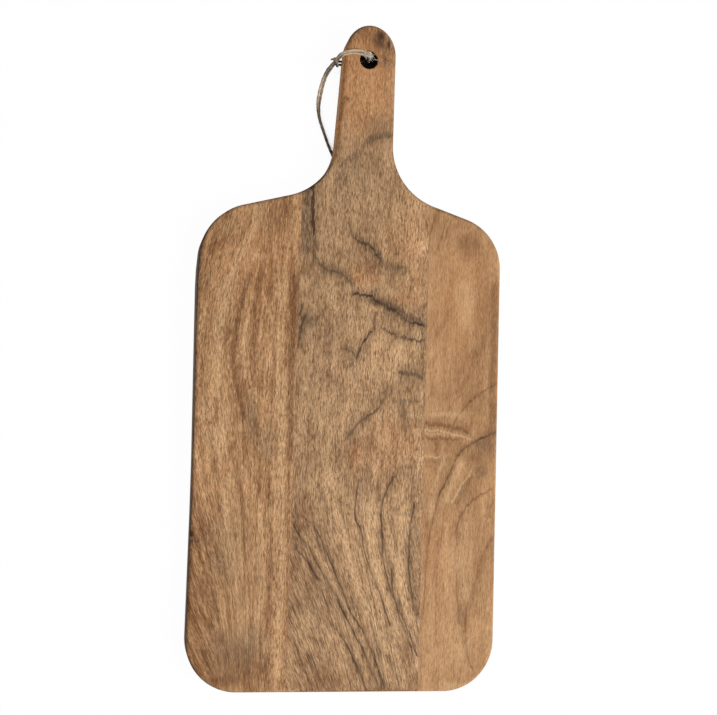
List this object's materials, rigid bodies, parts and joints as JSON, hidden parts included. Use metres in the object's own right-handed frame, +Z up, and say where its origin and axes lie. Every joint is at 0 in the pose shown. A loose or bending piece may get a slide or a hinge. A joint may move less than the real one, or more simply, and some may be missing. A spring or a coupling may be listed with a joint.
{
  "type": "cutting board with handle",
  "caption": "Paddle-shaped wooden cutting board of edge-glued staves, with an integral handle, a hanging hole and a hitched twine loop.",
  "frame": {"origin": "on the table, under the middle of the board's box", "axes": "+X across the board to its right as it is seen from above, +Y from the foot to the handle, +Z up from the table"},
  "size_m": [0.2, 0.4382, 0.0275],
  "materials": {
    "left_wood": "oiled satin",
    "centre_wood": "oiled satin",
    "right_wood": "oiled satin",
    "glue": "dried wood glue",
    "jute": "hairy plied jute"
  },
  "bodies": {
    "board": {"left_stave": "left_wood", "left_glue_line": "glue", "centre_stave": "centre_wood", "right_glue_line": "glue", "right_stave": "right_wood"},
    "hanging_loop": {"twine_loop": "jute", "twine_knot": "jute"}
  },
  "joints": [
    {"name": "loop_swing", "type": "hinge", "parent": "board", "child": "hanging_loop", "pos_m": [0.0071, 0.19818, 0.01512], "axis": [0, 0.0148, -0.9999], "range_deg": [0, 180]}
  ]
}
